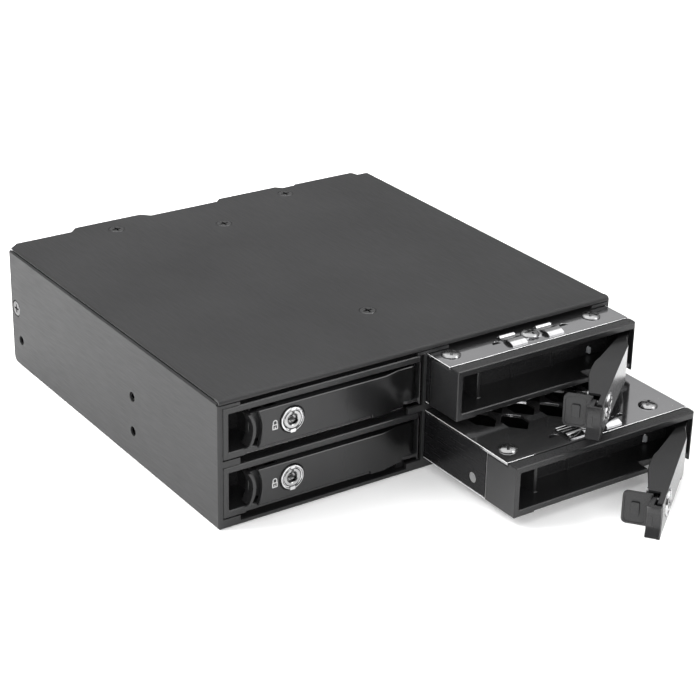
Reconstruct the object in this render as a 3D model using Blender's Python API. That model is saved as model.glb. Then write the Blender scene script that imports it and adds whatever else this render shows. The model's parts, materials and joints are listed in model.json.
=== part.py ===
"""Four-bay mobile rack for 2.5 inch drives, sized for one half-height 5.25 inch bay.

Front faces -Y, width runs along X, +Z is up. The origin is the centre of the case's bottom face.
Sizes below are millimetres; helpers turn them into metres. Each tray is drawn in its own corner
frame (x from its left side, y back from its front face, z from its underside), and each lever
in its hinge's frame, so four copies share one set of meshes.
"""

import math

import bmesh
import bpy
from mathutils import Matrix, Vector

MM = 0.001

# Case: the standard width and height of a half-height 5.25 inch device.
CASE_WIDTH = 146.0
CASE_HEIGHT = 42.0
SIDE_DEPTH = 138.0
REAR_CORNER = 2.5
COVER_DEPTH = 139.5
SHEET = 0.8
GAP = 0.3
SEAM = 0.3
LAP_Y = 56.0
LID_LIP = 0.8
LID_LIP_BOTTOM = 40.5
LID_ROLL = 1.2

# Trays: outside size, running clearance, and how the four stand in the case.
TRAY_WIDTH = 70.6
TRAY_HEIGHT = 16.6
TRAY_LENGTH = 111.0
TRAY_PITCH_X = 72.0
LOWER_TRAY_Z = 3.3
UPPER_TRAY_Z = 22.4
BAY_CLEARANCE = 0.2
UPPER_RIGHT_PULL = 15.5
LOWER_RIGHT_PULL = 44.8
UPPER_RIGHT_TURN = 39.0
LOWER_RIGHT_TURN = 38.4

# Bezel: the moulded front block of a tray.
BEZEL_DEPTH = 14.0
BEZEL_LIP = 4.1
OPENING_LEFT = 1.9
OPENING_RIGHT = 69.5
OPENING_BOTTOM = 2.3
OPENING_TOP = 14.55
CAVITY_DEPTH = 12.8
LIP_END = 52.6
LIP_CUT_DEPTH = 4.2
FOOT_WIDTH = 7.5
FOOT_CUT = 0.45
CATCH_X = 12.3
PIPE_X = 62.4
PIPE_Z = 3.9
PIPE_REACH = 0.65
PIPE_RADIUS = 0.5

# Lever: the hinged door of a tray. Its hinge axis is upright, near the tray's right end. Its face
# stands proud of the bezel and ramps back to it beside the hinge.
HINGE_X = 66.0
HINGE_Y = 3.2
PROUD = 1.4
RAMP_START_X = 55.5
RAMP_END_X = 61.5
LEVER_FACE = -HINGE_Y - PROUD
LEVER_BOTTOM = 2.6
LEVER_TOP = 13.8
LEVER_MIDDLE = 8.1
APRON_BOTTOM = 2.0
HEEL_START_X = 53.0
HEEL_END_X = 63.6
HEEL_BACK = -1.9
HEEL_SKIRT_X = 51.0
HEEL_BOTTOM = 0.4
LEVER_SKIN = 1.7
LEVER_END_X = 12.4
LEVER_END_RADIUS = 12.3
FLANGE_START_X = 18.4
PIN_RADIUS = 0.8
PIN_HOLE = 1.1
LOCK_X = 22.5
LOCK_Z = 8.4
LOCK_RADIUS = 4.0
LOCK_BARREL = 3.3
LOCK_LENGTH = 5.2
LATCH_TRAVEL = 1.9

# Tray shell: thin folded sheet over the drive.
SHELL_WALL = 0.35
SHELL_TOP = 0.8
DRIVE_SCREW_Y = (20.4, 97.0)
DRIVE_SCREW_Z = 4.5
PLATE_SCREWS = ((5.6, 11.4), (35.2, 10.3), (60.9, 11.4))
VENT_HALF_WIDTH = 3.9
VENT_HALF_LENGTH = 6.25
VENT_PITCH_X = 15.0
VENT_PITCH_Y = 6.5
VENT_FIRST = (11.2, 24.5)
VENT_ROWS = 8

# Rear of the case.
BOARD_Y = 120.0
BOARD_THICKNESS = 1.6
SOCKET_DEPTH = 5.4
PANEL_Y = 136.4
FAN_SIZE = 39.4
FAN_DEPTH = 10.0
FAN_Y = 126.0
FAN_Z = 21.0
BLADES = 7
SIDE_HOLE_Y = (52.0, 131.25)
SIDE_HOLE_Z = (10.0, 21.84)
COVER_SCREWS = ((-34.3, 133.8), (34.3, 133.8), (0.0, 119.4), (0.0, 31.3))
SIDE_SCREW_Y = 134.0
SIDE_SCREW_Z = 20.9


# ---------------------------------------------------------------- helpers

def clear_scene():
    for old in list(bpy.data.objects):
        bpy.data.objects.remove(old, do_unlink=True)


def make_material(name, colour, roughness, metallic):
    material = bpy.data.materials.new(name)
    material.use_nodes = True
    shader = material.node_tree.nodes["Principled BSDF"]
    shader.inputs["Base Color"].default_value = (*colour, 1.0)
    shader.inputs["Roughness"].default_value = roughness
    shader.inputs["Metallic"].default_value = metallic
    return material


def solid(name, bm):
    """Close a bmesh into a linked object with its faces pointing out."""
    bmesh.ops.recalc_face_normals(bm, faces=bm.faces)
    mesh = bpy.data.meshes.new(name)
    bm.to_mesh(mesh)
    bm.free()
    made = bpy.data.objects.new(name, mesh)
    bpy.context.scene.collection.objects.link(made)
    return made


def add_prism(bm, outline, low, high, axis="Z"):
    """Extrude a flat outline (mm) from low to high along one axis."""
    place = {
        "Z": lambda u, v, w: (u, v, w),
        "Y": lambda u, v, w: (u, w, v),
        "X": lambda u, v, w: (w, u, v),
    }[axis]
    corners = [bm.verts.new(Vector(place(u, v, low)) * MM) for u, v in outline]
    face = bm.faces.new(corners)
    raised = bmesh.ops.extrude_face_region(bm, geom=[face])
    moved = [v for v in raised["geom"] if isinstance(v, bmesh.types.BMVert)]
    bmesh.ops.translate(bm, vec=Vector(place(0, 0, high - low)) * MM, verts=moved)


def prism(name, outline, low, high, axis="Z"):
    bm = bmesh.new()
    add_prism(bm, outline, low, high, axis)
    return solid(name, bm)


def rectangle(u, v):
    return [(u[0], v[0]), (u[1], v[0]), (u[1], v[1]), (u[0], v[1])]


def arc(centre, radius, start_deg, end_deg, steps):
    points = []
    for step in range(steps + 1):
        angle = math.radians(start_deg + (end_deg - start_deg) * step / steps)
        points.append((centre[0] + radius * math.cos(angle), centre[1] + radius * math.sin(angle)))
    return points


def circle(centre, radius, steps=24):
    return arc(centre, radius, 0, 360 - 360 / steps, steps - 1)


def box(name, x, y, z):
    return prism(name, rectangle(x, y), z[0], z[1])


def boxes(name, spans):
    """Several separate boxes in one object, used as one cutter."""
    bm = bmesh.new()
    for x, y, z in spans:
        add_prism(bm, rectangle(x, y), z[0], z[1])
    return solid(name, bm)


def rods(name, centres, radius, span, axis, steps=24):
    """Several parallel round rods in one object."""
    bm = bmesh.new()
    for centre in centres:
        add_prism(bm, circle(centre, radius, steps), span[0], span[1], axis)
    return solid(name, bm)


def turned(name, profile, steps=24):
    """Spin a closed (radius, y) outline in mm about the Y axis."""
    bm = bmesh.new()
    first = [bm.verts.new((radius * MM, y * MM, 0)) for radius, y in profile]
    edges = [bm.edges.new((first[i], first[(i + 1) % len(first)])) for i in range(len(first))]
    bmesh.ops.spin(
        bm, geom=first + edges, cent=(0, 0, 0), axis=(0, 1, 0), angle=math.tau, steps=steps,
        use_merge=True,
    )
    bmesh.ops.remove_doubles(bm, verts=bm.verts, dist=1e-6)
    return solid(name, bm)


def combine(target, others, operation):
    """Boolean the others into the target, then keep only the resulting mesh."""
    for other in others:
        step = target.modifiers.new(operation.lower(), "BOOLEAN")
        step.operation = operation
        step.solver = "EXACT"
        step.object = other
    bake(target)
    for other in others:
        bpy.data.objects.remove(other, do_unlink=True)
    return target


def carve(target, *cutters):
    return combine(target, cutters, "DIFFERENCE")


def weld(target, *additions):
    return combine(target, additions, "UNION")


def soften(target, width, segments=1, angle_deg=50):
    """Round every edge sharper than the angle."""
    step = target.modifiers.new("bevel", "BEVEL")
    step.width = width * MM
    step.segments = segments
    step.limit_method = "ANGLE"
    step.angle_limit = math.radians(angle_deg)
    bake(target)
    return target


def bake(target):
    evaluated = target.evaluated_get(bpy.context.evaluated_depsgraph_get())
    mesh = bpy.data.meshes.new_from_object(evaluated)
    target.modifiers.clear()
    target.data = mesh


def take_mesh(made):
    """Take an object's mesh for copies to share, and drop the object."""
    mesh = made.data
    bpy.data.objects.remove(made, do_unlink=True)
    return mesh


def finish(made, material, smooth=True):
    made.data.materials.clear()
    made.data.materials.append(material)
    if smooth:
        made.data.shade_smooth()
        made.data.set_sharp_from_angle(angle=math.radians(35))
    return made


def empty(name, location, parent=None, turn_deg=0.0):
    made = bpy.data.objects.new(name, None)
    made.parent = parent
    made.matrix_local = Matrix.Translation(Vector(location) * MM) @ Matrix.Rotation(
        math.radians(turn_deg), 4, "Z"
    )
    bpy.context.scene.collection.objects.link(made)
    return made


def copy_of(mesh, name, parent, location=(0, 0, 0)):
    made = bpy.data.objects.new(name, mesh)
    made.parent = parent
    made.matrix_local = Matrix.Translation(Vector(location) * MM)
    bpy.context.scene.collection.objects.link(made)
    return made


# ---------------------------------------------------------------- case

def bay_left(column):
    """World X of a tray's left side: column 0 is the left one, 1 the right one."""
    return (column - 0.5) * TRAY_PITCH_X - TRAY_WIDTH / 2


def make_chassis(steel):
    """Floor, both sides and the front grid, folded from one sheet."""
    half = CASE_WIDTH / 2
    top = CASE_HEIGHT - SHEET - SEAM
    outline = [(0, top), (0, 0.4), (0.4, 0), (SIDE_DEPTH - REAR_CORNER, 0)]
    outline += arc((SIDE_DEPTH - REAR_CORNER, REAR_CORNER), REAR_CORNER, -60, 0, 2)
    outline += [(SIDE_DEPTH, top)]
    case = prism("chassis", outline, -half, half, "X")
    soften(case, 0.5)
    inner = half - SHEET
    hollow = box("cut_hollow", (-inner, inner), (1.2, SIDE_DEPTH + 5), (SHEET, top + 5))
    windows = []
    for column in (0, 1):
        left = bay_left(column) - BAY_CLEARANCE
        right = bay_left(column) + TRAY_WIDTH + BAY_CLEARANCE
        for z in (LOWER_TRAY_Z, UPPER_TRAY_Z):
            windows.append(((left, right), (-1, 2), (z - 0.2, z + TRAY_HEIGHT + 0.2)))
    openings = boxes("cut_windows", windows)
    slots = []
    for left, right in ((-65.6, -3.0), (8.6, 65.4)):
        slots.append(((left, right), (-1, 2), (38.9, top + 1)))
    for left, right in ((-65.6, -6.0), (6.0, 65.6)):
        slots.append(((left, right), (-1, 2), (19.8, 22.6)))
        slots.append(((left, right), (-1, 2), (1.4, 3.4)))
    vents = boxes("cut_slots", slots)
    side_holes = [(y, z) for y in SIDE_HOLE_Y for z in SIDE_HOLE_Z]
    side_holes.remove((SIDE_HOLE_Y[1], SIDE_HOLE_Z[1]))
    mounting = rods("cut_side", side_holes, 1.6, (-half - 1, half + 1), "X", 16)
    rear_screws = rods("cut_rear", [(SIDE_SCREW_Y, SIDE_SCREW_Z)], 2.9, (-half - 1, half + 1), "X", 16)
    floor_holes = [(x, y) for x in (-69.0, 69.0) for y in SIDE_HOLE_Y]
    floor = rods("cut_floor", floor_holes, 1.6, (-1, SHEET + 1), "Z", 12)
    lip_room = ((-1, LID_LIP + GAP), (LID_LIP_BOTTOM - GAP, top + 1))
    under_lid_lip = box("cut_top", (-half - 1, half + 1), *lip_room)
    carve(case, hollow, openings, vents, mounting, rear_screws, floor, under_lid_lip)
    runners = []
    for column in (0, 1):
        for offset in (4.0, TRAY_WIDTH - 7.0):
            start = bay_left(column) + offset
            runners.append(box("runner", (start, start + 3), (3, 112), (SHEET - 0.4, LOWER_TRAY_Z - 0.3)))
    weld(case, *runners)
    return finish(case, steel)


def cover_outline():
    """Plan of the flat part of the lid, with three tongues along the back edge."""
    half = CASE_WIDTH / 2 - 0.4
    back = COVER_DEPTH
    tongues = ((67.6, 41.4, 0.8), (36.6, 8.8, 2.0), (-17.8, -48.8, 2.8))
    points = [(-half, LID_ROLL), (half, LID_ROLL), (half, back - 2.2), (half - 4.4, back - 2.2)]
    for right, left, reach in tongues:
        points += [(right, back), (right - reach, back + reach), (left + reach, back + reach), (left, back)]
    points += [(-half + 3.2, back), (-half, back - 2.8)]
    return points


def make_cover(steel):
    low = CASE_HEIGHT - SHEET
    half = CASE_WIDTH / 2 - 0.4
    lid = prism("top_cover", cover_outline(), low, CASE_HEIGHT)
    soften(lid, 0.3)
    roll = arc((LID_ROLL, CASE_HEIGHT - LID_ROLL), LID_ROLL, 90, 180, 5)
    roll += [(0, LID_LIP_BOTTOM), (LID_LIP, LID_LIP_BOTTOM), (LID_LIP, low), (LID_ROLL + 1.4, low)]
    roll.append((LID_ROLL + 1.4, CASE_HEIGHT))
    weld(lid, prism("roll", roll, -half, half, "X"))
    holes = []
    for x, y in COVER_SCREWS:
        bm = bmesh.new()
        bmesh.ops.create_cone(
            bm, cap_ends=True, segments=16, radius1=1.9 * MM, radius2=3.2 * MM, depth=1.3 * MM,
            matrix=Matrix.Translation(Vector((x, y, CASE_HEIGHT - 0.35)) * MM),
        )
        holes.append(solid("cut_sink", bm))
    carve(lid, *holes)
    return finish(lid, steel)


def make_divider(steel):
    """Upright sheet between the columns, with a flange under the lid for its two screws."""
    wall = box("centre_divider", (-0.25, 0.25), (1.6, BOARD_Y - GAP), (1.2, 40.6))
    flange = box("flange", (-4.2, 4.2), (26, 124), (40.0, 40.9))
    foot = box("foot", (-3.5, 3.5), (6, 110), (1.1, 1.9))
    weld(wall, flange, foot)
    lap = box("cut_lap", (-1, 1), (LAP_Y - GAP, 113), (21.0, 22.4))
    threads = rods("cut_threads", [s for s in COVER_SCREWS if s[0] == 0.0], 1.8, (39, 42), "Z", 12)
    carve(wall, lap, threads)
    return finish(wall, steel, smooth=False)


def make_shelf(steel):
    """Sheet between the upper and lower bays, half-lapped with the divider."""
    inner = CASE_WIDTH / 2 - SHEET - GAP
    shelf = box("bay_shelf", (-inner, inner), (2.6, 112), (21.3, 22.1))
    carve(shelf, box("cut_lap", (-0.55, 0.55), (0, LAP_Y), (20, 23)))
    return finish(shelf, steel, smooth=False)


def make_rear_panel(steel):
    wall = CASE_WIDTH / 2 - SHEET - GAP
    panel = box("rear_panel", (-wall, wall), (PANEL_Y, PANEL_Y + SHEET), (SHEET + GAP, 40.9))
    flange_z = (40.1, 40.9)
    tabs = [
        box("tab", (-43, -25), (131.0, PANEL_Y + 0.4), flange_z),
        box("tab", (25, 43), (131.0, PANEL_Y + 0.4), flange_z),
        box("tab", (-wall, -wall + SHEET), (131.4, PANEL_Y + 0.4), (15, 27)),
        box("tab", (wall - SHEET, wall), (131.4, PANEL_Y + 0.4), (15, 27)),
    ]
    weld(panel, *tabs)
    fan_hole = rods("cut_fan", [(0, FAN_Z)], 18.4, (PANEL_Y - 1, PANEL_Y + 3), "Y", 28)
    ports = boxes("cut_ports", [
        ((-63, -25), (PANEL_Y - 0.5, PANEL_Y + 3), (6, 36)),
        ((25, 63), (PANEL_Y - 0.5, PANEL_Y + 3), (6, 36)),
    ])
    lid_screws = [s for s in COVER_SCREWS if s[0] != 0.0]
    threads = rods("cut_threads", lid_screws, 1.8, (39, 42), "Z", 12)
    side = rods("cut_side", [(SIDE_SCREW_Y, SIDE_SCREW_Z)], 1.8, (-75, 75), "X", 12)
    carve(panel, fan_hole, ports, threads, side)
    return finish(panel, steel)


def make_screw(name):
    """Countersunk screw pointing down -Z from the origin at its head's face."""
    bm = bmesh.new()
    profile = [(0, 0), (2.6, 0), (2.6, -0.15), (1.2, -1.35), (1.2, -2.1), (0.8, -2.4), (0, -2.4)]
    spine = [bm.verts.new((radius * MM, 0, z * MM)) for radius, z in profile]
    edges = [bm.edges.new((spine[i], spine[i + 1])) for i in range(len(spine) - 1)]
    bmesh.ops.spin(
        bm, geom=spine + edges, cent=(0, 0, 0), axis=(0, 0, 1), angle=math.tau, steps=16,
        use_merge=True,
    )
    bmesh.ops.remove_doubles(bm, verts=bm.verts, dist=1e-6)
    screw = solid(name, bm)
    cross = boxes("cut_cross", [((-1.4, 1.4), (-0.28, 0.28), (-0.8, 0.5))])
    other = boxes("cut_cross", [((-0.28, 0.28), (-1.4, 1.4), (-0.8, 0.5))])
    return carve(screw, cross, other)


def place_case_screws(chrome):
    mesh = take_mesh(make_screw("screw"))
    for number, (x, y) in enumerate(COVER_SCREWS, start=1):
        screw = copy_of(mesh, f"cover_screw_{number}", None, (x, y, CASE_HEIGHT - 0.05))
        finish(screw, chrome)
    for side, name in ((-1, "left_side_screw"), (1, "right_side_screw")):
        screw = copy_of(mesh, name, None)
        head = Vector((side * (CASE_WIDTH / 2 - 0.05), SIDE_SCREW_Y, SIDE_SCREW_Z)) * MM
        turn = Matrix.Rotation(math.radians(90 * side), 4, "Y")
        screw.matrix_local = Matrix.Translation(head) @ turn
        finish(screw, chrome)


# ---------------------------------------------------------------- backplane and fan

def make_backplane(board_green):
    board = box("backplane_board", (-71.4, 71.4), (BOARD_Y, BOARD_Y + BOARD_THICKNESS), (1.2, 39.4))
    carve(board, box("cut_vent", (-14, 14), (BOARD_Y - 1, BOARD_Y + 3), (9, 33)))
    return finish(board, board_green, smooth=False)


def make_drive_sockets(black):
    """One data-and-power socket per bay, on the board's front, where a drive's rear edge stops."""
    front = BOARD_Y - SOCKET_DEPTH
    socket = box("socket", (0, 33.4), (front, BOARD_Y - GAP), (0, 4.8))
    tongue_gap = boxes("cut_tongue", [
        ((1.6, 12.2), (front - 1, front + 3.6), (1.1, 3.7)),
        ((14.2, 31.8), (front - 1, front + 3.6), (1.1, 3.7)),
    ])
    carve(socket, tongue_gap)
    mesh = take_mesh(socket)
    for row, z in (("lower", LOWER_TRAY_Z), ("upper", UPPER_TRAY_Z)):
        for column, side in enumerate(("left", "right")):
            name = f"{row}_{side}_drive_socket"
            finish(copy_of(mesh, name, None, (bay_left(column) + 12, 0, z + 2.4)), black, smooth=False)


def make_rear_ports(black):
    """Four data ports and two power ports on the board's back face."""
    data = box("data", (0, 14.0), (0, 8.4), (0, 6.4))
    carve(data, box("cut_mouth", (1.4, 12.6), (2.4, 10), (1.4, 5.0)))
    data_mesh = take_mesh(data)
    power = box("power", (0, 24.0), (0, 8.4), (0, 7.0))
    carve(power, box("cut_mouth", (1.5, 22.5), (2.4, 10), (1.5, 5.5)))
    power_mesh = take_mesh(power)
    y = BOARD_Y + BOARD_THICKNESS + GAP
    port = 1
    for x in (-55.0, 27.0):
        side = "left" if x < 0 else "right"
        finish(copy_of(power_mesh, f"{side}_power_port", None, (x, y, 25)), black, False)
        for z in (9.0, 17.0):
            finish(copy_of(data_mesh, f"data_port_{port}", None, (x + 5.0, y, z)), black, False)
            port += 1


def make_fan(black):
    half = FAN_SIZE / 2
    back = FAN_Y + FAN_DEPTH
    frame = box("fan_frame", (-half, half), (FAN_Y, back), (FAN_Z - half, FAN_Z + half))
    bore = rods("cut_bore", [(0, FAN_Z)], 18.3, (FAN_Y - 1, back + 1), "Y", 28)
    corners = [(sx * 16, FAN_Z + sz * 16) for sx in (-1, 1) for sz in (-1, 1)]
    holes = rods("cut_holes", corners, 1.7, (FAN_Y - 1, back + 1), "Y", 8)
    carve(frame, bore, holes)
    motor = rods("motor", [(0, FAN_Z)], 8.6, (back - 1.4, back - 0.1), "Y", 20)
    struts = []
    for turn in range(4):
        strut = box("strut", (7.0, 19.0), (back - 1.3, back - 0.2), (-0.9, 0.9))
        spin = Matrix.Rotation(math.radians(45 + 90 * turn + 10), 4, "Y")
        strut.data.transform(Matrix.Translation((0, 0, FAN_Z * MM)) @ spin)
        struts.append(strut)
    weld(frame, motor, *struts)
    finish(frame, black)


def make_blade(turn_deg):
    """One pitched fan blade, rooted inside the hub."""
    bm = bmesh.new()
    rings = []
    for radius in (7.4, 11.0, 14.4, 17.6):
        pitch = math.radians(52 - 1.7 * (radius - 7.4))
        ring = []
        for along, thick in ((-4.0, 0.35), (4.0, 0.35), (4.0, -0.35), (-4.0, -0.35)):
            sweep = along * math.cos(pitch) + thick * math.sin(pitch)
            rise = along * math.sin(pitch) * 0.75 - thick * math.cos(pitch)
            ring.append(bm.verts.new(Vector((radius, rise, sweep)) * MM))
        rings.append(ring)
    for inner, outer in zip(rings, rings[1:]):
        for i in range(4):
            bm.faces.new((inner[i], inner[(i + 1) % 4], outer[(i + 1) % 4], outer[i]))
    bm.faces.new(rings[0])
    bm.faces.new(rings[-1])
    turn = Matrix.Rotation(math.radians(turn_deg), 3, "Y")
    bmesh.ops.rotate(bm, verts=bm.verts, cent=(0, 0, 0), matrix=turn)
    return solid("blade", bm)


def make_fan_rotor(black):
    hub = turned("fan_rotor", [(0, -3.6), (7.2, -3.6), (8.2, -2.8), (8.2, 3.4), (0, 3.4)], 20)
    weld(hub, *[make_blade(turn * 360 / BLADES) for turn in range(BLADES)])
    hub.location = Vector((0, FAN_Y + 4.8, FAN_Z)) * MM
    finish(hub, black)


# ---------------------------------------------------------------- tray pieces

def vent_outline(x, y):
    """A hexagon stretched along the tray."""
    side = VENT_HALF_WIDTH
    tip = VENT_HALF_LENGTH
    kink = tip / 3
    return [
        (x - side, y - kink), (x, y - tip), (x + side, y - kink),
        (x + side, y + kink), (x, y + tip), (x - side, y + kink),
    ]


def tray_shell_mesh():
    """Inverted trough: top plate with vents over two thin sides, open below and at both ends."""
    shell = box("shell", (0, TRAY_WIDTH), (BEZEL_LIP + GAP, TRAY_LENGTH), (0.3, TRAY_HEIGHT))
    under = TRAY_HEIGHT - SHELL_TOP
    inside = box("cut_inside", (SHELL_WALL, TRAY_WIDTH - SHELL_WALL), (0, TRAY_LENGTH + 1), (-1, under))
    front = box("cut_front", (-1, TRAY_WIDTH + 1), (0, BEZEL_DEPTH + GAP), (-1, under))
    bm = bmesh.new()
    for row in range(VENT_ROWS):
        y = VENT_FIRST[1] + row * VENT_PITCH_Y
        shift = VENT_PITCH_X / 2 * (1 - row % 2)
        for column in range(4 - (row + 1) % 2):
            x = VENT_FIRST[0] + shift + column * VENT_PITCH_X
            add_prism(bm, vent_outline(x, y), 14, 18)
    vents = solid("cut_vents", bm)
    holes = [rods("cut_plate", PLATE_SCREWS, 1.5, (14, 18), "Z", 12)]
    drive_holes = [(y, DRIVE_SCREW_Z) for y in DRIVE_SCREW_Y]
    holes.append(rods("cut_sides", drive_holes, 1.7, (-1, TRAY_WIDTH + 1), "X", 12))
    for x in (22.5, 49.0):
        half_round = arc((x, 10.2), 1.6, 180, 0, 6)
        holes.append(prism("cut_half_round", half_round, 14, 18))
    return take_mesh(carve(shell, inside, front, vents, *holes))


def bezel_mesh():
    corner = 1.7
    outline = [(0, 0), (TRAY_WIDTH - corner, 0)]
    outline += arc((TRAY_WIDTH - corner, corner), corner, -67.5, 0, 3)
    outline += [(TRAY_WIDTH, BEZEL_DEPTH), (0, BEZEL_DEPTH)]
    block = prism("bezel", outline, 0, TRAY_HEIGHT)
    soften(block, 0.3)
    step = box("cut_step", (-1, 72), (BEZEL_LIP, 16), (TRAY_HEIGHT - SHELL_TOP - GAP, 18))
    width = (OPENING_LEFT, OPENING_RIGHT)
    cavity = box("cut_cavity", width, (-1, CAVITY_DEPTH), (OPENING_BOTTOM, OPENING_TOP))
    lip = box("cut_lip", (LIP_END, OPENING_RIGHT), (-1, LIP_CUT_DEPTH), (-1, OPENING_BOTTOM + 0.1))
    foot = box("cut_foot", (FOOT_WIDTH, LIP_END + 1), (-1, BEZEL_DEPTH + 1), (-1, FOOT_CUT))
    light = prism("cut_light", pipe_outline(PIPE_RADIUS + GAP), CAVITY_DEPTH - 1, 15, "Y")
    carve(block, step, cavity, lip, foot, light)
    height = (OPENING_BOTTOM - 0.2, OPENING_TOP + 0.2)
    catch = box("catch", (CATCH_X, CATCH_X + 1.2), (6.2, CAVITY_DEPTH + 0.2), height)
    ear_outline = arc((HINGE_X, HINGE_Y), 2.5, 90, 270, 8) + [(70.2, HINGE_Y - 2.5), (70.2, HINGE_Y + 2.5)]
    ear = prism("ear", ear_outline, 0.9, OPENING_BOTTOM)
    weld(block, catch, ear)
    pin_hole = rods("cut_pin", [(HINGE_X, HINGE_Y)], PIN_HOLE, (0, 15.0), "Z", 12)
    return take_mesh(carve(block, pin_hole))


def pipe_outline(radius):
    """Upright oval about the light pipe's middle."""
    outline = arc((PIPE_X, PIPE_Z + PIPE_REACH), radius, 0, 180, 6)
    return outline + arc((PIPE_X, PIPE_Z - PIPE_REACH), radius, 180, 360, 6)


def light_pipe_mesh():
    return take_mesh(prism("light_pipe", pipe_outline(PIPE_RADIUS), 12.3, 17.0, "Y"))


def hinge_pin_mesh():
    return take_mesh(rods("pin", [(0, 0)], PIN_RADIUS, (1.1, 14.7), "Z", 12))


def spring_clip_mesh():
    """Bent leaf on the tray's top: a flat strip under the screw with a bowed finger each side."""
    z = TRAY_HEIGHT + GAP
    leaf = 0.3
    strip = prism("clip", rectangle((25.2, 45.4), (10.6, 12.8)), z, z + leaf)
    tongue = prism("tongue", rectangle((31.5, 39.1), (8.6, 11.2)), z, z + leaf)
    fingers = []
    for left in (25.2, 39.6):
        crest = [(5.9, z), (7.4, z + 0.35), (8.8, z + 0.55), (10.2, z + 0.35), (11.2, z)]
        outline = crest + [(y, h + leaf) for y, h in reversed(crest)]
        fingers.append(prism("finger", outline, left, left + 5.8, "X"))
    weld(strip, tongue, *fingers)
    hole = rods("cut_hole", [PLATE_SCREWS[1]], 1.5, (z - 1, z + 1), "Z", 12)
    return take_mesh(carve(strip, hole))


def lever_outline():
    """Plan of the lever about its hinge: proud face, round hinge end, deeper in the middle."""
    reach = HINGE_X - LEVER_END_X + 2.0
    points = [(-reach, LEVER_FACE), (RAMP_START_X - HINGE_X, LEVER_FACE)]
    points.append((RAMP_END_X - HINGE_X, -HINGE_Y))
    points += arc((0, 0), HINGE_Y, -90, 110, 10)
    points += [(-3.4, 0.4), (-5.2, -0.4), (-22.2, 2.3), (-25.6, 3.15), (-30.7, 3.35), (-35.2, 3.2)]
    points += [(-47.3, 0.95), (-reach, 0.95)]
    return points


def heel_outline():
    """Plan of the lever's lower right corner, which fills the gap in the bezel's lip."""
    start = HEEL_START_X - HINGE_X
    skirt = HEEL_SKIRT_X - HINGE_X
    ramp_end = RAMP_END_X - HINGE_X
    end = HEEL_END_X - HINGE_X
    points = [(skirt, LEVER_FACE), (RAMP_START_X - HINGE_X, LEVER_FACE), (ramp_end, -HINGE_Y)]
    points += [(end, -HINGE_Y), (end, -2.75), (ramp_end, -2.4), (ramp_end - 1.5, HEEL_BACK)]
    return points + [(start, HEEL_BACK), (start, -HINGE_Y - GAP), (skirt, -HINGE_Y - GAP)]


def lever_mesh():
    """Channel-section door in the hinge's frame, closed position along -X."""
    lever = prism("lever", lever_outline(), LEVER_BOTTOM, LEVER_TOP)
    reach = HINGE_X - LEVER_END_X
    ramp = RAMP_START_X - HINGE_X
    apron_back = -HINGE_Y - GAP
    apron = box("apron", (-reach - 2, ramp), (LEVER_FACE, apron_back), (APRON_BOTTOM, LEVER_BOTTOM + 0.5))
    weld(lever, apron, prism("heel", heel_outline(), HEEL_BOTTOM, LEVER_BOTTOM + 0.5))
    skin_back = LEVER_FACE + LEVER_SKIN
    hollow = [(-reach - 4, skin_back), (ramp, skin_back), (-4.8, -HINGE_Y + LEVER_SKIN)]
    hollow += [(-4.8, 6), (-reach - 4, 6)]
    channel = prism("cut_channel", hollow, LEVER_BOTTOM + 1.0, LEVER_TOP - 1.0)
    behind = box("cut_behind", (-reach - 4, FLANGE_START_X - HINGE_X), (skin_back, 6), (0, 20))
    end = rods("cut_end", [(-reach - LEVER_END_RADIUS, LEVER_MIDDLE)], LEVER_END_RADIUS, (-9, 9), "Y", 48)
    pin = rods("cut_pin", [(0, 0)], PIN_HOLE, (0, 20), "Z", 12)
    lock_centre = (LOCK_X - HINGE_X, LOCK_Z)
    lock = rods("cut_lock", [lock_centre], LOCK_BARREL + GAP, (-9, 0), "Y", 20)
    rebate = rods("cut_rebate", [lock_centre], LOCK_RADIUS + GAP, (-9, LEVER_FACE + 0.5), "Y", 20)
    carve(lever, channel, behind, end, pin, lock, rebate)
    return take_mesh(lever)


def latch_mesh():
    """Sliding catch in the hinge's frame: arched finger bar, web, and hooked plate."""
    low = LEVER_BOTTOM + 0.3
    high = LEVER_TOP - 0.4
    left = arc((0.85, LEVER_MIDDLE), 8.4, -38, 38, 6)
    right = arc((1.4, LEVER_MIDDLE), 9.0, 35, -35, 6)
    bar = prism("latch", [(x - HINGE_X, z) for x, z in left + right], LEVER_FACE + 0.1, -0.2, "Y")
    web = box("web", (9.0 - HINGE_X, 15.0 - HINGE_X), (-2.0, -0.3), (low + 0.9, high - 0.9))
    plate_outline = [(-0.9, low), (-0.9, high), (6.2, high)]
    plate_outline += arc((6.2, high - 1.6), 1.6, 60, 0, 2) + arc((6.2, low + 1.6), 1.6, 0, -60, 2)
    plate_outline += [(6.2, low)]
    plate = prism("plate", plate_outline, 14.1 - HINGE_X, 15.2 - HINGE_X, "X")
    pad = box("pad", (13.75 - HINGE_X, 14.5 - HINGE_X), (2.5, 5.1), (5.6, 9.8))
    return take_mesh(weld(bar, web, plate, pad))


def lock_ring_mesh():
    """Fixed barrel of the key lock about its own axis, with two key tabs in its mouth."""
    face = LEVER_FACE
    outline = [
        (LOCK_RADIUS, face - 0.5), (LOCK_RADIUS, face + 0.2),
        (LOCK_BARREL, face + 0.2), (LOCK_BARREL, face + LOCK_LENGTH),
        (2.75, face + LOCK_LENGTH), (2.75, face + 0.6), (3.4, face + 0.2), (3.4, face - 0.5),
    ]
    return take_mesh(turned("ring", outline, 20))


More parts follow.
